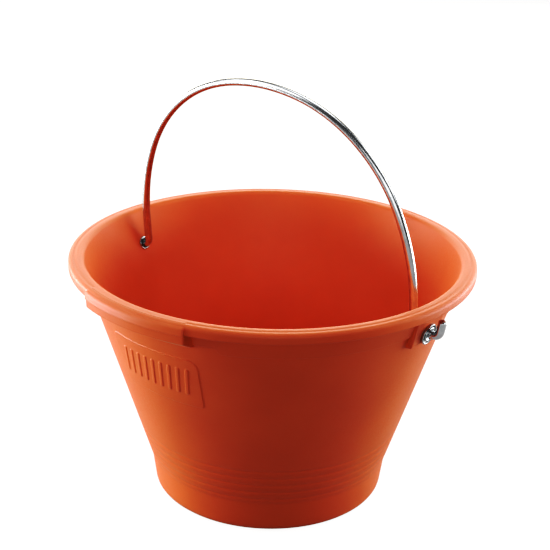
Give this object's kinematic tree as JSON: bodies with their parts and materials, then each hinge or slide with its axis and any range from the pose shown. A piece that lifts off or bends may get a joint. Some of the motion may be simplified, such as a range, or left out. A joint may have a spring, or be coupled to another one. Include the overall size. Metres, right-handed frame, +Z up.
{
  "type": "mason's bucket",
  "caption": "Tapered round plastic bucket with a heavy rolled rim, a pouring lip and a swinging round steel wire bail hooked through lined holes in its side pads.",
  "frame": {"origin": "centre of the base, on the floor the bucket stands on", "axes": "+Z up along the bucket's axis; the bail turns about a line along X; the pouring lip faces -Y"},
  "size_m": [0.355, 0.3525, 0.3706],
  "materials": {
    "shell_plastic": "orange-red moulded polyethylene, satin, slightly translucent look at the thin edges",
    "bail_wire": "bright zinc-plated drawn steel wire",
    "eyelet_steel": "bright zinc-plated pressed steel"
  },
  "bodies": {
    "bucket": {"bucket_body": "shell_plastic", "eyelet_right": "eyelet_steel", "eyelet_left": "eyelet_steel", "eyelet_washer_right": "eyelet_steel", "eyelet_washer_left": "eyelet_steel"},
    "bail": {"bail_handle": "bail_wire"}
  },
  "joints": [
    {"name": "bail_swing", "type": "hinge", "parent": "bucket", "child": "bail", "pos_m": [0, 0, 0.187], "axis": [1, 0, 0], "range_deg": [-73.5, 62]}
  ]
}
